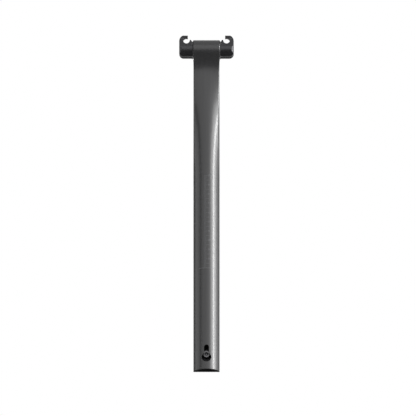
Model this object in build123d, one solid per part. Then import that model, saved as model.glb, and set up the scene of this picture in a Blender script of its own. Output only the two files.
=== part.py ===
"""Twin leaf-spring bicycle seatpost, in millimetres.

+Z runs up the post axis from its foot, -Y is the front of the bicycle and +X the rider's left.
Two carbon leaves, split on the frontal plane, carry a clamp for the saddle rails on two eyes.
"""

import os
from math import asin, cos, degrees, radians, sin, sqrt

from build123d import *

os.makedirs("parts", exist_ok=True)

# Post shaft
POST_D = 27.2
SLIT = 0.2
OUTER_WALL = 2.8
FLAT_WALL = 2.4
CAVITY_CORNER = 2.2
ROUND_TOP_Z = 199.5
REAR_FOOT_Z = 6.0

# Eyes and the slope of the saddle rails against the square to the post
RAIL_SLOPE = 12.5
EYE_Y = 14.75
FRONT_EYE_Z = 344.8
EYE_R = 9.6
EYE_STEP = 0.05
EYE_END_R = 1.0

# Leaf above the round shaft
STRIP_NARROW = 0.1
STRIP_INSET = 0.2
BEND_RISE = 95.5
CROWN_DELAY = 5.5
CROWN_FADE = 120.0
CROWN_POWER = 1.8
CROWN_END = 0.02
CROWN_SLACK = 0.007
CREST_LEAN = 1.5
COVE_R = 25.6
FLARE = 0.5
FLARE_RISE = 7.0
EDGE_R = 1.0
EDGE_R_SHAFT = 0.05
EDGE_SHARE = 0.8
BROW_R = 1.0
BROW_R_SHAFT = 6.0
BROW_DELAY = 40.0
BROW_FADE = 75.0
SECTIONS = 14
CAVITY_TAPER = 65.0
CAVITY_TOP_SCALE = 0.34
CAVITY_TOP_INSET = 2.6

# Bushes and sleeves in the eyes
BUSH_D = 14.5
BUSH_LENGTH = 12.0
FLANGE_D = 16.4
FLANGE_T = 0.8
SLEEVE_D = 10.0
RUN_GAP = 0.06
END_GAP = 0.05
FLOAT = 0.95

# Rail clamp
RAIL_D = 7.0
RAIL_X = 20.85
RAIL_UP = 9.4
JAW_R = 7.9
JAW_SPLIT = 0.04
LOCATOR_W = 2.0
LOCATOR_H = 0.4
LOCATOR_GAP = 0.08
JAW_OUT = 28.35
HOOK_TOP = 14.75
HOOK_CROWN = 0.8
HOOK_TIP_X = 19.4
HOOK_R = 6.5
HOOK_TIP_R = 0.9
HOOK_END_R = 4.0
LIP_TOP = 9.9
LIP_CROWN = 0.3
LIP_X = 16.4
LIP_DROP = 2.3
LIP_END_R = 1.5
JAW_END_BACK = 1.2
JAW_EDGE = 3.2
WAIST_R = 13.0
WAIST_RISE = 3.2
WAIST_EDGE_R = 3.5
JAW_LOW_R = 5.0

# Clamp bolts, washers and nuts
BOLT_D = 6.0
BOLT_GAP = 0.08
BOLT_HEAD_D = 10.0
BOLT_HEAD_H = 5.0
BOLT_HEX = 5.0
BOLT_HEX_DEPTH = 3.0
HEAD_EDGE = 0.5
DRILL_POINT = 0.6
BOLT_END_BACK = 1.0
WASHER_T = 0.8
WASHER_HOLE_GAP = 0.2
POCKET_GAP = 0.3
WEB_T = 1.6
NUT_H = 5.2
NUT_EDGE = 0.5

# Keyhole and foot screw
KEY_HOLE_D = 10.0
KEY_HOLE_Z = 12.65
KEY_SLOT_W = 5.1
KEY_SLOT_TOP_Z = 25.95
FOOT_SCREW_Z = 17.1
FOOT_SCREW_D = 5.0
FOOT_HEAD_D = 8.0
FOOT_HEAD_H = 5.0
FOOT_HEX = 4.0
FOOT_HEX_DEPTH = 2.6
FOOT_HOLE_GAP = 0.25
FOOT_WASHER_SIDE = 4.8
FOOT_WASHER_T = 1.0
FOOT_TRAVEL = 2.5
FOOT_NUT_SIDE = 3.8
FOOT_NUT_H = 12.0
FOOT_NUT_T = 4.5
FOOT_NUT_EDGE = 1.5
SCREW_PROUD = 1.0

POST_R = POST_D / 2
CAVITY_R = POST_R - OUTER_WALL
STRIP_HALF = POST_R - STRIP_NARROW
HALF_SLIT = SLIT / 2
FLAT_IN = HALF_SLIT + FLAT_WALL
EYE_HALF = STRIP_HALF + FLARE + EYE_STEP
EYE_SPAN = 2 * EYE_Y / cos(radians(RAIL_SLOPE))
REAR_EYE_Z = FRONT_EYE_Z + EYE_SPAN * sin(radians(RAIL_SLOPE))
LEAF_RISE = REAR_EYE_Z - FRONT_EYE_Z
STRIP_BACK = EYE_Y - EYE_R + STRIP_INSET
CREST_LOW = POST_R - CREST_LEAN
COVE_Y = CREST_LOW + COVE_R
COVE_Z = FRONT_EYE_Z - sqrt((COVE_R + EYE_R) ** 2 - (COVE_Y - EYE_Y) ** 2)
COVE_TOP_Z = FRONT_EYE_Z - (FRONT_EYE_Z - COVE_Z) * EYE_R / (COVE_R + EYE_R)
JAW_IN = EYE_HALF + FLANGE_T + END_GAP
FOOT_WASHER_D = 2 * (CAVITY_R - FOOT_WASHER_SIDE)
FOOT_NUT_W = 2 * (CAVITY_R - FOOT_NUT_SIDE)
CUT = 4 * JAW_OUT


def ease(z, rise):
    """Smooth change from 0 at the top of the round shaft to 1 after the given rise."""
    t = min(max((z - ROUND_TOP_Z) / rise, 0.0), 1.0)
    return t * t * (3 - 2 * t)


def back_depth(z):
    """Distance of the leaf's flat inner face from the split plane."""
    return HALF_SLIT + (STRIP_BACK - HALF_SLIT) * ease(z, BEND_RISE)


def crest_depth(z):
    """Distance of the leaf's outer crest from the split plane."""
    if z <= COVE_Z:
        return POST_R - CREST_LEAN * (z - ROUND_TOP_Z) / (COVE_Z - ROUND_TOP_Z)
    return COVE_Y - sqrt(COVE_R**2 - (z - COVE_Z) ** 2)


def crown_radius(z):
    """Radius of the leaf's rounded front, which grows from the shaft's to a nearly flat strip."""
    t = min(max((z - ROUND_TOP_Z - CROWN_DELAY) / CROWN_FADE, 0.0), 1.0)
    return (POST_R + CROWN_SLACK) / (1 - (1 - CROWN_END) * t**CROWN_POWER)


def half_width(z):
    """Half-width of the leaf, which flares a little where it runs into its eye."""
    flare = max(0.0, 1 - (COVE_TOP_Z - z) / FLARE_RISE)
    return POST_R - (POST_R - STRIP_HALF) * ease(z, BEND_RISE) + FLARE * flare**2


def leaf_section(z):
    """Closed face of the front leaf at one height: crowned front, flat sides and back, round edges."""
    half = half_width(z)
    crown = crown_radius(z)
    back = -back_depth(z)
    middle = crown - crest_depth(z)
    brow = BROW_R_SHAFT + (BROW_R - BROW_R_SHAFT) * ease(z - BROW_DELAY, BROW_FADE)
    brow_x = half - brow
    brow_y = middle - sqrt((crown - brow) ** 2 - brow_x**2)
    turn = degrees(asin(brow_x / (crown - brow)))
    edge = EDGE_R_SHAFT + (EDGE_R - EDGE_R_SHAFT) * ease(z, BEND_RISE)
    edge = min(edge, EDGE_SHARE * (back - brow_y))
    side_y = back - edge
    front = CenterArc((0, middle), crown, 270 - turn, 2 * turn)
    right_brow = CenterArc((brow_x, brow_y), brow, 270 + turn, 90 - turn)
    right = Line((half, brow_y), (half, side_y))
    right_edge = CenterArc((half - edge, side_y), edge, 0, 90)
    flat = Line((half - edge, back), (edge - half, back))
    left_edge = CenterArc((edge - half, side_y), edge, 90, 90)
    left = Line((-half, side_y), (-half, brow_y))
    left_brow = CenterArc((-brow_x, brow_y), brow, 180, 90 - turn)
    outline = Wire([front, right_brow, right, right_edge, flat, left_edge, left, left_brow])
    return Pos(0, 0, z) * Face(outline)


def cavity_section():
    """D-shaped hollow of the shaft, in the leaf's own section."""
    disc = Circle(CAVITY_R)
    below_flat = Pos(0, -FLAT_IN - CUT / 2) * Rectangle(CUT, CUT)
    hollow = disc & below_flat
    return fillet(hollow.vertices(), CAVITY_CORNER)


def barrel():
    """Eye of a leaf about the x axis, turned from a profile with rounded ends."""
    profile = Rectangle(2 * EYE_HALF, EYE_R, align=(Align.CENTER, Align.MIN))
    profile = fillet(profile.vertices().group_by(Axis.Y)[-1], EYE_END_R)
    return revolve(profile, Axis.X)


def leaf(foot_z, rise):
    """Front leaf from its foot to its eye, with everything above the shaft raised by rise."""
    shaft_length = ROUND_TOP_Z + rise - foot_z
    shaft = Pos(0, 0, foot_z - ROUND_TOP_Z) * extrude(leaf_section(ROUND_TOP_Z), shaft_length)

    step = (COVE_TOP_Z - ROUND_TOP_Z) / (SECTIONS - 1)
    heights = [ROUND_TOP_Z + step * i for i in range(SECTIONS)]
    blade = Pos(0, 0, rise) * loft([leaf_section(z) for z in heights])
    neck_half = half_width(COVE_TOP_Z) - EDGE_R
    neck_back = Rectangle(2 * neck_half, EYE_Y - STRIP_BACK, align=(Align.CENTER, Align.MAX))
    neck_length = FRONT_EYE_Z - COVE_TOP_Z
    neck = Pos(0, -STRIP_BACK, COVE_TOP_Z + rise) * extrude(neck_back, neck_length)
    eye_place = Pos(0, -EYE_Y, FRONT_EYE_Z + rise)
    body = shaft + blade + neck + eye_place * barrel()
    body -= eye_place * Cylinder(BUSH_D / 2, CUT, rotation=(0, 90, 0))

    hollow = cavity_section()
    top_z = ROUND_TOP_Z + CAVITY_TAPER
    top_y = back_depth(top_z) + CAVITY_TOP_INSET
    small = Pos(0, -top_y + CAVITY_TOP_SCALE * FLAT_IN) * scale(hollow, CAVITY_TOP_SCALE)
    straight = Pos(0, 0, foot_z) * extrude(hollow, shaft_length)
    lower = Pos(0, 0, ROUND_TOP_Z + rise) * hollow
    upper = Pos(0, 0, top_z + rise) * small
    tip = loft([lower.face(), upper.face()])
    return body - straight - tip


def through_y(sketch, y_from, y_to):
    """Solid from a sketch drawn with x across and y up, reaching from y_from to y_to."""
    face = Plane((0, y_from, 0), x_dir=(1, 0, 0), z_dir=(0, -1, 0)) * sketch
    return extrude(face, y_to - y_from, dir=(0, 1, 0))


def front_leaf():
    body = leaf(0, 0)
    slot_end_z = KEY_SLOT_TOP_Z - KEY_SLOT_W / 2
    slot_height = slot_end_z - KEY_HOLE_Z
    keyhole = Pos(0, KEY_HOLE_Z) * Circle(KEY_HOLE_D / 2)
    keyhole += Pos(0, KEY_HOLE_Z + slot_height / 2) * Rectangle(KEY_SLOT_W, slot_height)
    keyhole += Pos(0, slot_end_z) * Circle(KEY_SLOT_W / 2)
    body -= through_y(keyhole, -POST_D, -FLAT_IN - FOOT_WASHER_T)
    shank_slot_w = FOOT_SCREW_D + 2 * FOOT_HOLE_GAP
    shank_slot = Pos(0, FOOT_SCREW_Z) * SlotCenterToCenter(2 * FOOT_TRAVEL, shank_slot_w, rotation=90)
    return body - through_y(shank_slot, -FLAT_IN - FOOT_WASHER_T, POST_D)


def rear_leaf():
    body = mirror(leaf(REAR_FOOT_Z, LEAF_RISE), Plane.XZ)
    hole = Pos(0, FOOT_SCREW_Z) * Circle(FOOT_SCREW_D / 2 + FOOT_HOLE_GAP)
    return body - through_y(hole, 0, FLAT_IN + FOOT_NUT_T)


def bush(hole):
    """Flanged bush for the +X end of an eye, around a hole drawn in the eye's cross-section."""
    inner_x = EYE_HALF - BUSH_LENGTH
    tube = Plane.YZ.offset(inner_x) * Circle(BUSH_D / 2)
    flange = Plane.YZ.offset(EYE_HALF) * Circle(FLANGE_D / 2)
    solid = extrude(tube, BUSH_LENGTH, dir=(1, 0, 0)) + extrude(flange, FLANGE_T, dir=(1, 0, 0))
    return solid - extrude(Plane.YZ * hole, CUT, dir=(1, 0, 0))


def sleeve():
    tube = Cylinder(SLEEVE_D / 2, 2 * JAW_IN, rotation=(0, 90, 0))
    return tube - Cylinder(BOLT_D / 2 + BOLT_GAP, CUT, rotation=(0, 90, 0))


def jaw_side(top, crown, end_r):
    """Side outline of a jaw about the front eye: round ends, a waist between them and a crowned top."""
    middle = EYE_SPAN / 2
    run = Pos(middle, 0) * SlotCenterToCenter(EYE_SPAN, 2 * JAW_R)
    run -= Pos(middle, WAIST_RISE - JAW_R - WAIST_R) * Circle(WAIST_R)
    waist_ends = run.vertices().group_by(Axis.Y)[0].sort_by(Axis.X)[1:3]
    run = fillet(waist_ends, WAIST_EDGE_R)
    front = JAW_END_BACK - JAW_R
    rear = EYE_SPAN - front
    crest = ThreePointArc((rear, top - crown), (middle, top), (front, top - crown))
    sides = Polyline((front, top - crown), (front, 0), (rear, 0), (rear, top - crown))
    cheek = make_face([crest, sides])
    cheek = fillet(cheek.vertices().group_by(Axis.Y)[-1], end_r)
    return run + cheek


def jaw_blank(front_outline, top, crown, end_r):
    """Solid with the given front outline (x, up) and the side outline of a jaw."""
    depth = EYE_SPAN + 2 * JAW_R
    front = Plane((0, -JAW_R, 0), x_dir=(1, 0, 0), z_dir=(0, -1, 0)) * front_outline
    along = extrude(front, depth, dir=(0, 1, 0))
    across = extrude(Plane.YZ * jaw_side(top, crown, end_r), CUT, dir=(1, 0, 0))
    return along & across


def at_both_eyes(solid):
    """The solid at the front eye and again at the rear eye, in the frame of the clamp."""
    return [solid, Pos(0, EYE_SPAN, 0) * solid]


def along_x(radius, x_from, x_to):
    """Cylinder about the eye's axis from x_from to x_to."""
    return extrude(Plane.YZ.offset(x_from) * Circle(radius), x_to - x_from, dir=(1, 0, 0))


def rail_circle():
    return Pos(RAIL_X, RAIL_UP) * Circle(RAIL_D / 2)


def locators(gap):
    """Upright ribs across the jaws' split at both eyes, which keep the jaws from turning on each other."""
    rib = Box(2 * (LOCATOR_H + gap), LOCATOR_W + 2 * gap, CUT)
    return at_both_eyes(Pos(RAIL_X - JAW_SPLIT / 2, 0, 0) * rib)


def cradle(out_x):
    """Body of the inner jaw from the eye's flange out to out_x."""
    outline = Polygon(
        (JAW_IN, -JAW_R), (out_x, -JAW_R), (out_x, LIP_TOP), (LIP_X, LIP_TOP), (JAW_IN, LIP_TOP - LIP_DROP),
        align=None,
    )
    return jaw_blank(outline - rail_circle(), LIP_TOP, LIP_CROWN, LIP_END_R)


def inner_jaw():
    """Cradle on the +X side, in the frame of the clamp about the front eye."""
    out_x = RAIL_X - JAW_SPLIT / 2
    jaw = cradle(out_x)
    for rib in locators(0):
        jaw += cradle(out_x + LOCATOR_H) & rib
    for hole in at_both_eyes(along_x(BOLT_D / 2 + BOLT_GAP, 0, CUT)):
        jaw -= hole
    return jaw


def outer_jaw():
    """Hooked jaw on the +X side, in the frame of the clamp about the front eye."""
    in_x = RAIL_X + JAW_SPLIT / 2
    outline = Polygon(
        (in_x, -JAW_R), (JAW_OUT, -JAW_R), (JAW_OUT, HOOK_TOP), (HOOK_TIP_X, HOOK_TOP), (HOOK_TIP_X, RAIL_UP),
        (in_x, RAIL_UP), align=None,
    )
    top_corners = outline.vertices().group_by(Axis.Y)[-1].sort_by(Axis.X)
    outline = fillet(top_corners[-1], HOOK_R)
    tip_corner = outline.vertices().group_by(Axis.Y)[-1].sort_by(Axis.X)[0]
    outline = fillet(tip_corner, HOOK_TIP_R)
    low_corner = outline.vertices().group_by(Axis.Y)[0].sort_by(Axis.X)[-1]
    outline = fillet(low_corner, JAW_LOW_R)
    jaw = jaw_blank(outline - rail_circle(), HOOK_TOP, HOOK_CROWN, HOOK_END_R)
    length = EYE_SPAN + 2 * JAW_R
    plan = Pos(JAW_OUT - CUT / 2, EYE_SPAN / 2) * RectangleRounded(CUT, length, JAW_EDGE)
    jaw &= Pos(0, 0, -CUT / 2) * extrude(plan, CUT)
    for groove in locators(LOCATOR_GAP):
        jaw -= groove
    pocket_r = BOLT_HEAD_D / 2 + POCKET_GAP
    for pocket in at_both_eyes(along_x(pocket_r, in_x + WEB_T, CUT)):
        jaw -= pocket
    for hole in at_both_eyes(along_x(BOLT_D / 2 + BOLT_GAP, 0, CUT)):
        jaw -= hole
    return jaw


def hex_socket(size, depth):
    """Hexagonal recess with a drill point, drawn from its mouth at z = 0 downward."""
    point_h = DRILL_POINT * size / 2
    point = Pos(0, 0, -depth - point_h / 2) * Cone(0, size / 2, point_h)
    return point + Pos(0, 0, -depth) * extrude(RegularPolygon(size / 2, 6, major_radius=False), depth)


def bolt():
    """Clamp bolt with its head on the -X side."""
    seat_x = RAIL_X + JAW_SPLIT / 2 + WEB_T + WASHER_T
    nut_end_x = RAIL_X + JAW_SPLIT / 2 + WEB_T + NUT_H
    length = seat_x + nut_end_x - BOLT_END_BACK
    head = extrude(Circle(BOLT_HEAD_D / 2), BOLT_HEAD_H)
    head = chamfer(head.edges().group_by(Axis.Z)[-1], HEAD_EDGE)
    head -= Pos(0, 0, BOLT_HEAD_H) * hex_socket(BOLT_HEX, BOLT_HEX_DEPTH)
    shank = Pos(0, 0, -length) * extrude(Circle(BOLT_D / 2), length)
    shank = chamfer(shank.edges().group_by(Axis.Z)[0], HEAD_EDGE)
    return Pos(-seat_x, 0, 0) * Rot(0, -90, 0) * (head + shank)


def bolt_washer():
    seat_x = RAIL_X + JAW_SPLIT / 2 + WEB_T
    ring = extrude(Circle(BOLT_HEAD_D / 2) - Circle(BOLT_D / 2 + WASHER_HOLE_GAP), WASHER_T)
    return Pos(-seat_x, 0, 0) * Rot(0, -90, 0) * ring


def clamp_nut():
    seat_x = RAIL_X + JAW_SPLIT / 2 + WEB_T
    nut = extrude(Circle(BOLT_HEAD_D / 2), NUT_H)
    nut = chamfer(nut.edges().group_by(Axis.Z)[-1], NUT_EDGE)
    nut -= Pos(0, 0, NUT_H) * hex_socket(BOLT_HEX + 1, BOLT_END_BACK)
    nut -= Cylinder(BOLT_D / 2 + BOLT_GAP, CUT)
    return Pos(seat_x, 0, 0) * Rot(0, 90, 0) * nut


def foot_screw():
    seat_y = FLAT_IN + FOOT_WASHER_T
    length = seat_y + FLAT_IN + FOOT_NUT_T + SCREW_PROUD
    head = extrude(Circle(FOOT_HEAD_D / 2), FOOT_HEAD_H)
    head = chamfer(head.edges().group_by(Axis.Z)[-1], HEAD_EDGE)
    head -= Pos(0, 0, FOOT_HEAD_H) * hex_socket(FOOT_HEX, FOOT_HEX_DEPTH)
    shank = Pos(0, 0, -length) * extrude(Circle(FOOT_SCREW_D / 2), length)
    shank = chamfer(shank.edges().group_by(Axis.Z)[0], HEAD_EDGE)
    return Pos(0, -seat_y, FOOT_SCREW_Z) * Rot(90, 0, 0) * (head + shank)


def foot_washer():
    ring = extrude(Circle(FOOT_WASHER_D / 2) - Circle(FOOT_SCREW_D / 2 + WASHER_HOLE_GAP), FOOT_WASHER_T)
    return Pos(0, -FLAT_IN, FOOT_SCREW_Z) * Rot(90, 0, 0) * ring


def foot_nut():
    plate = extrude(RectangleRounded(FOOT_NUT_W, FOOT_NUT_H, FOOT_NUT_EDGE), FOOT_NUT_T)
    plate -= Cylinder(FOOT_SCREW_D / 2, CUT)
    return Pos(0, FLAT_IN, FOOT_SCREW_Z) * Rot(-90, 0, 0) * plate


front_eye = Pos(0, -EYE_Y, FRONT_EYE_Z)
rear_eye = Pos(0, EYE_Y, REAR_EYE_Z)
clamp_frame = front_eye * Rot(RAIL_SLOPE, 0, 0)
rear_clamp_frame = rear_eye * Rot(RAIL_SLOPE, 0, 0)

round_hole = Circle(SLEEVE_D / 2 + RUN_GAP)
float_hole = SlotCenterToCenter(2 * FLOAT, SLEEVE_D + 2 * RUN_GAP)

parts = {
    "front_leaf": front_leaf(),
    "rear_leaf": rear_leaf(),
    "front_bush_left": front_eye * bush(round_hole),
    "front_bush_right": front_eye * mirror(bush(round_hole), Plane.YZ),
    "rear_bush_left": rear_eye * bush(float_hole),
    "rear_bush_right": rear_eye * mirror(bush(float_hole), Plane.YZ),
    "front_axle_sleeve": front_eye * sleeve(),
    "rear_axle_sleeve": rear_eye * sleeve(),
    "inner_jaw_left": clamp_frame * inner_jaw(),
    "inner_jaw_right": clamp_frame * mirror(inner_jaw(), Plane.YZ),
    "outer_jaw_left": clamp_frame * outer_jaw(),
    "outer_jaw_right": clamp_frame * mirror(outer_jaw(), Plane.YZ),
    "front_clamp_bolt": clamp_frame * bolt(),
    "rear_clamp_bolt": rear_clamp_frame * bolt(),
    "front_bolt_washer": clamp_frame * bolt_washer(),
    "rear_bolt_washer": rear_clamp_frame * bolt_washer(),
    "front_clamp_nut": clamp_frame * clamp_nut(),
    "rear_clamp_nut": rear_clamp_frame * clamp_nut(),
    "foot_screw": foot_screw(),
    "foot_washer": foot_washer(),
    "foot_nut": foot_nut(),
}

for name, solid in parts.items():
    export_step(solid, f"parts/{name}.step")
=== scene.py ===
from math import cos, radians, sin

import bpy
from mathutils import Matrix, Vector


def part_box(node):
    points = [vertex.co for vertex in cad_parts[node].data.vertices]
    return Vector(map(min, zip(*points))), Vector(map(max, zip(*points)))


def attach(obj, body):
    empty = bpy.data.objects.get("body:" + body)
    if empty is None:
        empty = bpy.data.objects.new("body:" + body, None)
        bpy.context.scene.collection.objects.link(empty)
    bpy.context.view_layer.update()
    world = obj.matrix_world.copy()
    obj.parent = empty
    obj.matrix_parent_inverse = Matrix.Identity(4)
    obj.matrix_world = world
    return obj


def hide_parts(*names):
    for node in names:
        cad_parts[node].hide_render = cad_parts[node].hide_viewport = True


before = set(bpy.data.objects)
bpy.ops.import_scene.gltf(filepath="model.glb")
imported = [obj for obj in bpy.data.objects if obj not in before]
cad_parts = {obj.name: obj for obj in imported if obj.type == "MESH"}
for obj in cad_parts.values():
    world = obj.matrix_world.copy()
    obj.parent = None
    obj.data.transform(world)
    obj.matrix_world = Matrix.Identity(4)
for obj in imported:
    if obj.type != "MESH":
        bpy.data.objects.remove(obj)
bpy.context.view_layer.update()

MM = 0.001

# View of the photograph: along the saddle rails, from below the square to the post
VIEW_DROP = radians(16)
VIEW_WIDTH = 432.6 * MM
VIEW_X = 1.59 * MM
VIEW_UP = 170.6 * MM
VIEW_DISTANCE = 500 * MM

# Studio, in metres
FLOOR_Z = -0.2
FLOOR_SIZE = 18.0
BOX_SPREAD = radians(50)

# The clear coat is only on the outside of the shaft; inside it and on its cut ends the carbon also carries
# painted shade
COAT_R = 13.4 * MM
COAT_TOP_Z = 195 * MM
BARE_ROUGHNESS = 0.8

# Insertion scale printed on the front of the shaft
SCALE_Z = 108.8 * MM
SCALE_LINE_HALF = 7.8 * MM
SCALE_LINE_H = 0.4 * MM
SCALE_LINE_PIECES = 32
TICK_H = 0.25 * MM
TICK_PIECES = 6
TICK_LEFT = -2.75 * MM
FINE_RIGHT = -0.15 * MM
TEN_RIGHT = 1.0 * MM
FIVE_RIGHT = 2.85 * MM
NUMBER_X = 1.4 * MM
NUMBER_SIZE = 2.9 * MM
FINE_STEP = 1 * MM
STEPS_PER_TEN = 10
TEN_STEP = STEPS_PER_TEN * FINE_STEP
TENS = 10
PRINT_Y = -20 * MM
PRINT_LIFT = 0.02 * MM
PRINT_T = 0.02 * MM

# Socket screws: the same heads, sockets and shanks as the solids that they stand for.
# The knurl's valleys, the drill and its slope are shares of the head's radius, the socket and the drill.
KNURL_RIBS = 36
KNURL_VALLEY = 0.965
HEAD_BEVEL = 0.5 * MM
SHANK_BEVEL = 0.5 * MM
ROUND_SIDES = 48
DRILL_SHARE = 0.96
DRILL_SLOPE = 0.6
DRILL_LIFT = 0.05 * MM
BOLT_HEAD_D = 10 * MM
BOLT_HEAD_H = 5 * MM
BOLT_HEX = 5 * MM
BOLT_HEX_DEPTH = 3 * MM
BOLT_D = 6 * MM
FOOT_HEAD_D = 8 * MM
FOOT_HEAD_H = 5 * MM
FOOT_HEX = 4 * MM
FOOT_HEX_DEPTH = 2.6 * MM
FOOT_SCREW_D = 5 * MM
SMOOTH_ANGLE = radians(30)


def deselect_all():
    """Leaves edit mode and selects nothing."""
    if bpy.context.object and bpy.context.object.mode != "OBJECT":
        bpy.ops.object.mode_set(mode="OBJECT")
    bpy.ops.object.select_all(action="DESELECT")


def select_only(*pieces):
    """Selects these pieces alone, with the first of them active."""
    deselect_all()
    for piece in pieces:
        piece.select_set(True)
    bpy.context.view_layer.objects.active = pieces[0]


def settle():
    """Puts the place, turn and size of the selected pieces into their meshes."""
    bpy.ops.object.transform_apply(location=True, rotation=True, scale=True)


def modify(piece, kind, **settings):
    """Adds a modifier to the active piece and applies it."""
    modifier = piece.modifiers.new(kind.lower(), kind)
    for key, value in settings.items():
        setattr(modifier, key, value)
    bpy.ops.object.modifier_apply(modifier=modifier.name)


def linear(hex_colour):
    """Linear RGBA of an sRGB hex colour such as '#3c3c40'."""
    channels = [int(hex_colour[i:i + 2], 16) / 255 for i in (1, 3, 5)]
    rgb = [c / 12.92 if c <= 0.04045 else ((c + 0.055) / 1.055) ** 2.4 for c in channels]
    return (*rgb, 1.0)


def add_node(tree, kind, inputs=None, **settings):
    """Adds a node, sets its properties, and fills or links its inputs."""
    made = tree.nodes.new(kind)
    for key, value in settings.items():
        setattr(made, key, value)
    for key, value in (inputs or {}).items():
        if isinstance(value, bpy.types.NodeSocket):
            tree.links.new(value, made.inputs[key])
        else:
            made.inputs[key].default_value = value
    return made


def new_material(name):
    """Empty node material, with its tree and its surface shader."""
    material = bpy.data.materials.new(name)
    material.use_nodes = True
    tree = material.node_tree
    tree.nodes.clear()
    surface = add_node(tree, "ShaderNodeBsdfPrincipled")
    add_node(tree, "ShaderNodeOutputMaterial", {"Surface": surface.outputs["BSDF"]})
    return material, tree, surface


def pattern_place(tree, x_mm, y_mm, z_mm):
    """Object coordinates in which one unit is the given size along each axis."""
    place = add_node(tree, "ShaderNodeTexCoord")
    size = (1 / (x_mm * MM), 1 / (y_mm * MM), 1 / (z_mm * MM))
    mapping = add_node(tree, "ShaderNodeMapping", {"Vector": place.outputs["Object"], "Scale": size})
    return mapping.outputs["Vector"]


def mottle(tree, place, hex_low, hex_high, span=(0.3, 0.7), detail=2.0, fine=0.5):
    """Noise that wanders between two colours: gives the colour and the noise itself."""
    noise = add_node(tree, "ShaderNodeTexNoise",
                     {"Vector": place, "Scale": 1.0, "Detail": detail, "Roughness": fine})
    tint = add_node(tree, "ShaderNodeValToRGB", {"Fac": noise.outputs["Fac"]})
    for stop, position, colour in zip(tint.color_ramp.elements, span, (hex_low, hex_high)):
        stop.position = position
        stop.color = linear(colour)
    return tint.outputs["Color"], noise.outputs["Fac"]


def bare_fibre(tree):
    """Mask that is 1 inside the shaft and on its cut ends, where the fibre has no clear coat and where
    painted shade darkens its colour.
    """
    place = add_node(tree, "ShaderNodeTexCoord").outputs["Object"]
    across = add_node(tree, "ShaderNodeMapping", {"Vector": place, "Scale": (1, 1, 0)})
    radius = add_node(tree, "ShaderNodeVectorMath", {0: across.outputs["Vector"]}, operation="LENGTH")
    inside = add_node(tree, "ShaderNodeMath", {0: radius.outputs["Value"], 1: COAT_R},
                      operation="LESS_THAN")
    height = add_node(tree, "ShaderNodeSeparateXYZ", {"Vector": place})
    shaft = add_node(tree, "ShaderNodeMath", {0: height.outputs["Z"], 1: COAT_TOP_Z},
                     operation="LESS_THAN")
    bare_and_shaded = add_node(tree, "ShaderNodeMath", {0: inside.outputs[0], 1: shaft.outputs[0]},
                    operation="MULTIPLY")
    return bare_and_shaded.outputs[0]


def satin_carbon():
    """Unidirectional carbon under a satin clear coat: nearly black, with faint lengthwise tows.

    Inside the shaft and on its cut ends the fibre has no clear coat, so it is matt there; its colour is
    also darker there, as painted shade for the little light that reaches the inside and the cut ends.
    """
    material, tree, surface = new_material("satin_carbon")
    bare_and_shaded = bare_fibre(tree)
    tows = pattern_place(tree, 1.2, 1.2, 90)
    streaks, _ = mottle(tree, tows, "#141416", "#1c1c1e", detail=3.0, fine=0.6)
    # The darker colour where the mask is 1 is painted shade inside the shaft and on its cut ends
    colour = add_node(tree, "ShaderNodeMix", {0: bare_and_shaded, 6: streaks, 7: linear("#0c0c0d")}, data_type="RGBA")
    tree.links.new(colour.outputs[2], surface.inputs["Base Color"])
    haze = pattern_place(tree, 4, 4, 7)
    cloud = add_node(tree, "ShaderNodeTexNoise", {"Vector": haze, "Scale": 1.0, "Detail": 2.0})
    gloss = add_node(tree, "ShaderNodeMapRange",
                     {"Value": cloud.outputs["Fac"], "To Min": 0.50, "To Max": 0.56})
    rough = add_node(tree, "ShaderNodeMix", {0: bare_and_shaded, 2: gloss.outputs["Result"], 3: BARE_ROUGHNESS},
                     data_type="FLOAT")
    tree.links.new(rough.outputs[0], surface.inputs["Roughness"])
    coat = add_node(tree, "ShaderNodeMath", {0: 1.0, 1: bare_and_shaded}, operation="SUBTRACT")
    tree.links.new(coat.outputs[0], surface.inputs["Coat Weight"])
    surface.inputs["Coat Roughness"].default_value = 0.27
    return material


def anodised_jaws():
    """Forged alloy, blasted and anodised dark: a fine matt grain with a metal sheen.

    The grit is drawn coarser than the real tenth of a millimetre, so that it shows.
    """
    material, tree, surface = new_material("anodised_jaws")
    grit = pattern_place(tree, 0.5, 0.5, 0.5)
    colour, grain = mottle(tree, grit, "#48484a", "#505052")
    tree.links.new(colour, surface.inputs["Base Color"])
    bump = add_node(tree, "ShaderNodeBump", {"Strength": 0.15, "Distance": 0.02 * MM, "Height": grain})
    tree.links.new(bump.outputs["Normal"], surface.inputs["Normal"])
    surface.inputs["Metallic"].default_value = 1.0
    surface.inputs["Roughness"].default_value = 0.36
    return material


def turned_metal(name, hex_low, hex_high, roughness):
    """Machined metal with faint tool marks, drawn coarser than the real ones, so that they show."""
    material, tree, surface = new_material(name)
    marks = pattern_place(tree, 0.25, 3, 3)
    colour, _ = mottle(tree, marks, hex_low, hex_high)
    tree.links.new(colour, surface.inputs["Base Color"])
    surface.inputs["Metallic"].default_value = 1.0
    surface.inputs["Roughness"].default_value = roughness
    return material


def bearing_polymer():
    """Moulded dry-bearing plastic: dark grey, matt, slightly speckled by its filler.

    The specks are drawn coarser than the real filler, so that they show.
    """
    material, tree, surface = new_material("bearing_polymer")
    filler = pattern_place(tree, 0.4, 0.4, 0.4)
    colour, _ = mottle(tree, filler, "#202022", "#303032", span=(0, 1))
    tree.links.new(colour, surface.inputs["Base Color"])
    surface.inputs["Roughness"].default_value = 0.55
    return material


def scale_ink():
    """Pad-printed grey ink, a little lighter than the clear coat that it lies on."""
    material, tree, surface = new_material("scale_ink")
    film = pattern_place(tree, 0.6, 0.6, 0.6)
    colour, _ = mottle(tree, film, "#4e4f51", "#58595b", span=(0, 1))
    tree.links.new(colour, surface.inputs["Base Color"])
    surface.inputs["Roughness"].default_value = 0.45
    return material


def dress(material, *nodes):
    """Gives CAD nodes one material."""
    for name in nodes:
        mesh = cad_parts[name].data
        mesh.materials.clear()
        mesh.materials.append(material)


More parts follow.
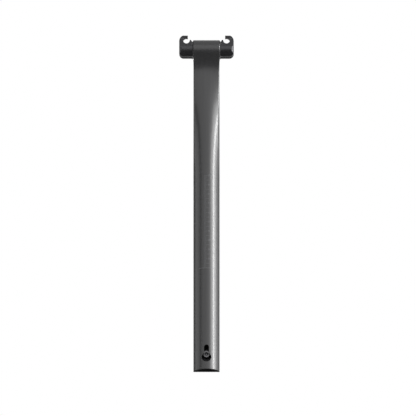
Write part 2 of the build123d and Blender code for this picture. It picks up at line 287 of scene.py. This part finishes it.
carbon = satin_carbon()
jaws = anodised_jaws()
black_steel = turned_metal("black_oxide_steel", "#2e2e30", "#3a3a3c", 0.38)
stainless = turned_metal("stainless_screw", "#6c6c6e", "#7a7a7c", 0.34)
plain_alloy = turned_metal("turned_alloy", "#a8a8aa", "#b8b8ba", 0.3)
polymer = bearing_polymer()
ink = scale_ink()

dress(carbon, "front_leaf", "rear_leaf")
dress(jaws, "inner_jaw_left", "inner_jaw_right", "outer_jaw_left", "outer_jaw_right")
dress(black_steel, "front_clamp_bolt", "rear_clamp_bolt", "front_bolt_washer", "rear_bolt_washer",
      "front_clamp_nut", "rear_clamp_nut", "foot_washer")
dress(stainless, "foot_screw")
dress(plain_alloy, "front_axle_sleeve", "rear_axle_sleeve", "foot_nut")
dress(polymer, "front_bush_left", "front_bush_right", "rear_bush_left", "rear_bush_right")


def flat_strip(left, right, z, height, pieces):
    """Flat strip in front of the post, facing forward, divided across so that it can bend."""
    deselect_all()
    bpy.ops.mesh.primitive_grid_add(x_subdivisions=pieces, y_subdivisions=1, size=1,
                                    location=((left + right) / 2, PRINT_Y, z),
                                    rotation=(radians(90), 0, 0))
    strip = bpy.context.object
    strip.scale = (right - left, height, 1)
    settle()
    return strip


def repeat_up(strip, count, step):
    """Copies a strip upward at even steps."""
    modify(strip, "ARRAY", count=count, use_relative_offset=False, use_constant_offset=True,
           constant_offset_displace=(0, 0, step))


def scale_number(value, z):
    """One figure of the scale as a flat mesh in front of the post."""
    deselect_all()
    bpy.ops.object.text_add(location=(NUMBER_X, PRINT_Y, z), rotation=(radians(90), 0, 0))
    figure = bpy.context.object
    figure.data.body = str(value)
    figure.data.size = NUMBER_SIZE
    figure.data.align_y = "CENTER"
    bpy.ops.object.convert(target="MESH")
    settle()
    return bpy.context.object


def insertion_scale():
    """Limit line, millimetre ticks and figures, laid as a thin ink film on the front leaf."""
    line = flat_strip(-SCALE_LINE_HALF, SCALE_LINE_HALF, SCALE_Z, SCALE_LINE_H, SCALE_LINE_PIECES)
    fine = flat_strip(TICK_LEFT, FINE_RIGHT, SCALE_Z + FINE_STEP, TICK_H, TICK_PIECES)
    repeat_up(fine, TENS * STEPS_PER_TEN, FINE_STEP)
    fives = flat_strip(FINE_RIGHT, FIVE_RIGHT, SCALE_Z + TEN_STEP / 2, TICK_H, TICK_PIECES)
    repeat_up(fives, TENS, TEN_STEP)
    tens = flat_strip(FINE_RIGHT, TEN_RIGHT, SCALE_Z + TEN_STEP, TICK_H, TICK_PIECES // 2)
    repeat_up(tens, TENS, TEN_STEP)
    figures = [scale_number(STEPS_PER_TEN * ten, SCALE_Z + TEN_STEP * ten) for ten in range(1, TENS + 1)]

    select_only(line, fine, fives, tens, *figures)
    bpy.ops.object.join()
    line.name = "insertion_scale"
    modify(line, "SHRINKWRAP", target=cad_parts["front_leaf"], wrap_method="PROJECT",
           wrap_mode="ABOVE_SURFACE", use_project_y=True, offset=PRINT_LIFT)
    modify(line, "SOLIDIFY", thickness=PRINT_T, offset=1)
    line.data.materials.clear()
    line.data.materials.append(ink)
    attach(line, "front_leaf_body")


insertion_scale()


def push_up(height, size):
    """Extrudes the selected face upward and scales its end."""
    bpy.ops.mesh.extrude_region_move(TRANSFORM_OT_translate={"value": (0, 0, height)})
    bpy.ops.transform.resize(value=(size, size, 1))


def close_up():
    """Turns all faces outward and leaves the mesh."""
    bpy.ops.mesh.select_all(action="SELECT")
    bpy.ops.mesh.normals_make_consistent(inside=False)
    bpy.ops.object.mode_set(mode="OBJECT")


def knurled_head(diameter, height):
    """Cap head that stands on the origin: ribbed side and bevelled rim."""
    deselect_all()
    bpy.ops.mesh.primitive_circle_add(vertices=2 * KNURL_RIBS, radius=diameter / 2, fill_type="NGON")
    head = bpy.context.object
    bpy.ops.object.mode_set(mode="EDIT")
    bpy.ops.mesh.select_mode(type="VERT")
    bpy.ops.object.mode_set(mode="OBJECT")
    for vertex in head.data.vertices:
        vertex.select = vertex.index % 2 == 0
    bpy.ops.object.mode_set(mode="EDIT")
    bpy.ops.transform.resize(value=(KNURL_VALLEY, KNURL_VALLEY, 1))
    bpy.ops.mesh.select_all(action="SELECT")
    push_up(height - HEAD_BEVEL, 1)
    push_up(HEAD_BEVEL, 1 - 2 * HEAD_BEVEL / diameter)
    close_up()
    return head


def cut_away(head, cutter):
    """Cuts one mesh out of a head and removes it."""
    select_only(head)
    modify(head, "BOOLEAN", operation="DIFFERENCE", object=cutter)
    bpy.data.objects.remove(cutter)


def cut_socket(head, height, hex_size, hex_depth):
    """Sinks a hexagonal socket with a drill point into the top of a head."""
    deselect_all()
    bpy.ops.mesh.primitive_cylinder_add(vertices=6, radius=hex_size / 2 / cos(radians(30)),
                                        depth=2 * hex_depth, location=(0, 0, height))
    cut_away(head, bpy.context.object)
    point_r = DRILL_SHARE * hex_size / 2
    point_h = DRILL_SLOPE * point_r
    deselect_all()
    bpy.ops.mesh.primitive_cone_add(vertices=ROUND_SIDES, radius1=0, radius2=point_r, depth=point_h,
                                    location=(0, 0, height - hex_depth - point_h / 2 + DRILL_LIFT))
    cut_away(head, bpy.context.object)


def plain_shank(diameter, length):
    """Shank that hangs down from the origin, with a bevelled end."""
    deselect_all()
    bpy.ops.mesh.primitive_circle_add(vertices=ROUND_SIDES, radius=diameter / 2 - SHANK_BEVEL,
                                      fill_type="NGON", location=(0, 0, -length))
    shank = bpy.context.object
    bpy.ops.object.mode_set(mode="EDIT")
    bpy.ops.mesh.select_all(action="SELECT")
    push_up(SHANK_BEVEL, diameter / (diameter - 2 * SHANK_BEVEL))
    push_up(length - SHANK_BEVEL, 1)
    close_up()
    return shank


def socket_screw(name, head, shank, material):
    """One screw of a head and a shank, upright with its seat at the origin."""
    select_only(head, shank)
    bpy.ops.object.join()
    settle()
    bpy.ops.object.shade_smooth_by_angle(angle=SMOOTH_ANGLE)
    head.name = name
    head.data.materials.clear()
    head.data.materials.append(material)
    return head


def seat_screw(screw, place, turn, node, body):
    """Turns a screw into its place and lets it stand for its solid."""
    select_only(screw)
    screw.location = place
    screw.rotation_euler = turn
    settle()
    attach(screw, body)
    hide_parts(node)


def clamp_bolts():
    """Two alike cross bolts, with their heads in the right jaw."""
    low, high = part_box("front_clamp_bolt")
    seat_x = low.x + BOLT_HEAD_H
    head = knurled_head(BOLT_HEAD_D, BOLT_HEAD_H)
    cut_socket(head, BOLT_HEAD_H, BOLT_HEX, BOLT_HEX_DEPTH)
    bolt = socket_screw("front_bolt_knurled", head, plain_shank(BOLT_D, high.x - seat_x), black_steel)
    select_only(bolt)
    bpy.ops.object.duplicate()
    twin = bpy.context.object
    twin.name = "rear_bolt_knurled"
    for screw, node in ((bolt, "front_clamp_bolt"), (twin, "rear_clamp_bolt")):
        low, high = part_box(node)
        place = (seat_x, (low.y + high.y) / 2, (low.z + high.z) / 2)
        seat_screw(screw, place, (0, radians(-90), 0), node, "right_clamp")


def keyed_foot_screw():
    """Screw behind the keyhole, with its head to the front."""
    low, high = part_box("foot_screw")
    seat_y = low.y + FOOT_HEAD_H
    head = knurled_head(FOOT_HEAD_D, FOOT_HEAD_H)
    cut_socket(head, FOOT_HEAD_H, FOOT_HEX, FOOT_HEX_DEPTH)
    shank = plain_shank(FOOT_SCREW_D, high.y - seat_y)
    screw = socket_screw("foot_screw_knurled", head, shank, stainless)
    place = (0, seat_y, (low.z + high.z) / 2)
    seat_screw(screw, place, (radians(90), 0, 0), "foot_screw", "rear_leaf_body")


clamp_bolts()
keyed_foot_screw()


def studio():
    """Pale matt floor and white surroundings."""
    scene = bpy.context.scene
    scene.view_settings.view_transform = "Standard"

    deselect_all()
    bpy.ops.mesh.primitive_plane_add(size=FLOOR_SIZE, location=(0, 0, FLOOR_Z))
    floor = bpy.context.object
    floor.name = "studio_floor"
    pale, _, surface = new_material("pale_floor")
    surface.inputs["Base Color"].default_value = linear("#e0e0e0")
    surface.inputs["Roughness"].default_value = 1.0
    surface.inputs["Specular IOR Level"].default_value = 0.0
    floor.data.materials.append(pale)

    world = bpy.data.worlds.new("white_surroundings")
    scene.world = world
    world.use_nodes = True
    tree = world.node_tree
    tree.nodes.clear()
    white = add_node(tree, "ShaderNodeBackground", {"Color": (1, 1, 1, 1), "Strength": 1.0})
    add_node(tree, "ShaderNodeOutputWorld", {"Surface": white.outputs["Background"]})


def facing(place, aim):
    """Turn of a lamp or card at a place towards a point."""
    return (Vector(aim) - Vector(place)).to_track_quat("-Z", "Y").to_euler()


def soft_box(name, place, aim, width, height, watts):
    """Rectangular soft box at a place in metres, turned to a point."""
    deselect_all()
    bpy.ops.object.light_add(type="AREA", location=place)
    lamp = bpy.context.object
    lamp.name = name
    lamp.data.shape = "RECTANGLE"
    lamp.data.size = width
    lamp.data.size_y = height
    lamp.data.energy = watts
    lamp.data.spread = BOX_SPREAD
    lamp.visible_camera = False
    lamp.rotation_euler = facing(place, aim)
    return lamp


def light_only(lamp, *nodes):
    """Lets a lamp light the named nodes alone."""
    lit = bpy.data.collections.new(lamp.name)
    for name in nodes:
        lit.objects.link(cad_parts[name])
    lamp.light_linking.receiver_collection = lit


def dark_card(name, place, aim, width, height, cover):
    """Dark scrim that only reflections show, which gives the glossy sides an edge against the white."""
    deselect_all()
    bpy.ops.mesh.primitive_plane_add(size=1, location=place)
    card = bpy.context.object
    card.name = name
    card.scale = (width, height, 1)
    card.rotation_euler = facing(place, aim)
    card.visible_camera = False
    card.visible_shadow = False
    card.visible_diffuse = False
    felt, _, surface = new_material(name)
    surface.inputs["Base Color"].default_value = linear("#2a2a2a")
    surface.inputs["Roughness"].default_value = 0.9
    surface.inputs["Alpha"].default_value = cover
    card.data.materials.append(felt)


def soft_boxes():
    """Narrow strip with two wings at the rider's left, and a box behind for the rear leaf."""
    post = (0, 0, 0.335)
    soft_box("strip_left_side", place=(1.05, -0.471, 0.635), aim=post, width=0.2, height=1.3, watts=1.7)
    soft_box("wing_front", place=(0.853, -0.772, 0.635), aim=post, width=0.5, height=1.3, watts=0.75)
    soft_box("wing_rear", place=(1.144, -0.123, 0.635), aim=post, width=0.5, height=1.3, watts=0.85)
    behind = soft_box("strip_rear", place=(-0.55, 1.1, 0.2), aim=(0, 0, 0.12), width=0.35, height=0.75,
                      watts=1.6)
    light_only(behind, "rear_leaf")


def dark_cards():
    """Upright cards beside and behind the post, and level ones above and below it."""
    post = (0, 0, 0.2)
    dark_card("card_rear_right", place=(-0.75, 0.8, 0.5), aim=post, width=0.9, height=2.2, cover=0.9)
    dark_card("card_front_right", place=(-0.93, -0.68, 0.5), aim=post, width=0.28, height=2.2, cover=1.0)
    dark_card("card_rear_left", place=(0.7, 1.0, 0.5), aim=post, width=0.7, height=2.2, cover=0.9)
    dark_card("card_above", place=(0, 0.6, 1.5), aim=(0, 0.6, 0), width=3.0, height=4.0, cover=0.5)
    dark_card("card_below", place=(0, -0.83, -0.19), aim=(0, -0.83, 1), width=2.6, height=2.07, cover=0.8)
    dark_card("card_below_rear", place=(0, 0.65, -0.19), aim=(0, 0.65, 1), width=0.6, height=0.9, cover=0.8)
    dark_card("card_rear", place=(0, 1.4, 0.4), aim=(0, 0, 0.4), width=0.6, height=0.8, cover=0.85)


def photo_camera():
    """Long-lens view of the photograph, as a parallel view of the same frame width."""
    up = Vector((0, -sin(VIEW_DROP), cos(VIEW_DROP)))
    ahead = Vector((0, cos(VIEW_DROP), sin(VIEW_DROP)))
    aim = Vector((VIEW_X, 0, 0)) + up * VIEW_UP
    deselect_all()
    bpy.ops.object.camera_add(location=aim - ahead * VIEW_DISTANCE)
    camera = bpy.context.object
    camera.name = "photo_camera"
    camera.rotation_euler = (radians(90) + VIEW_DROP, 0, 0)
    camera.data.type = "ORTHO"
    camera.data.ortho_scale = VIEW_WIDTH
    bpy.context.scene.camera = camera


studio()
soft_boxes()
dark_cards()
photo_camera()
